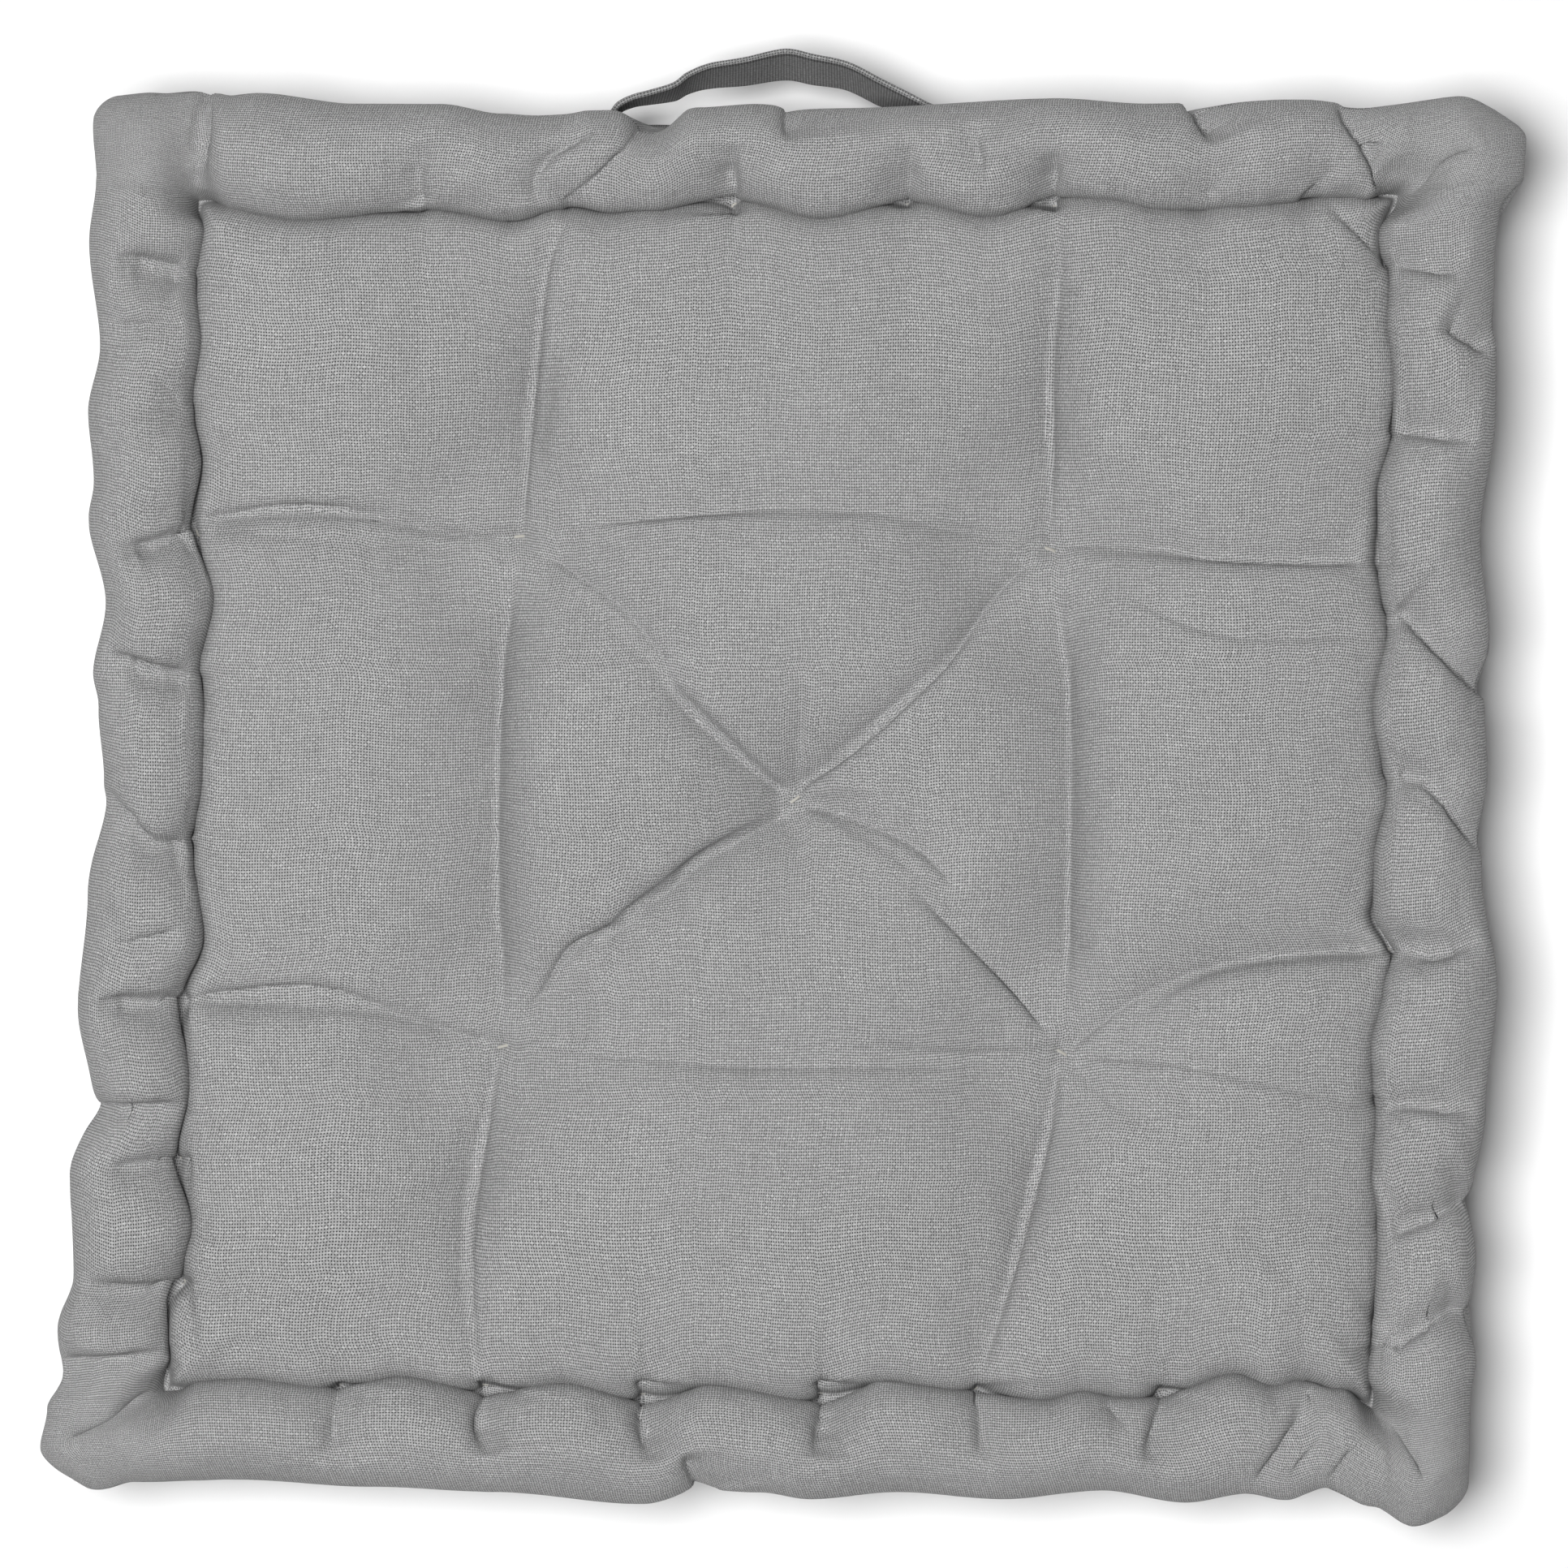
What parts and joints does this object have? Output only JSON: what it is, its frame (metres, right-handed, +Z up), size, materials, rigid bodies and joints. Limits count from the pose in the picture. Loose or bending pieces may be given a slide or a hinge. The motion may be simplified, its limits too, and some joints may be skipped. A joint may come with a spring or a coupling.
{
  "type": "tufted floor cushion",
  "caption": "Square floor cushion in plain-weave canvas with tufts, stitched rolled edges on both faces and a cloth carry handle at the back.",
  "frame": {"origin": "on the floor, below the middle of the cushion's square body", "axes": "+Z up through the thickness, +Y towards the side with the carry handle, +X to the right seen from the front"},
  "size_m": [0.4214, 0.4249, 0.08],
  "materials": {
    "canvas": "matte",
    "strap": "matte",
    "filling": "matte",
    "thread": "matte"
  },
  "bodies": {
    "cushion": {"top_panel": "canvas", "bottom_panel": "canvas", "side_band_right": "canvas", "side_band_back": "canvas", "side_band_left": "canvas", "side_band_front": "canvas", "core_filling": "filling", "edge_roll_filling_top": "filling", "edge_roll_filling_bottom": "filling", "edge_stitching_top": "thread", "edge_stitching_bottom": "thread", "tuft_tie_center": "thread", "tuft_tie_back_left": "thread", "tuft_tie_back_right": "thread", "tuft_tie_front_left": "thread", "tuft_tie_front_right": "thread", "carry_handle_end_left": "strap", "carry_handle_end_right": "strap", "handle_stitching_left": "thread", "handle_stitching_right": "thread"},
    "handle": {"carry_handle_loop": "strap"}
  },
  "joints": [
    {"name": "handle_swing", "type": "hinge", "parent": "cushion", "child": "handle", "pos_m": [0, 0.2015, 0.038], "axis": [1, 0, 0], "range_deg": [-28, 70]}
  ]
}
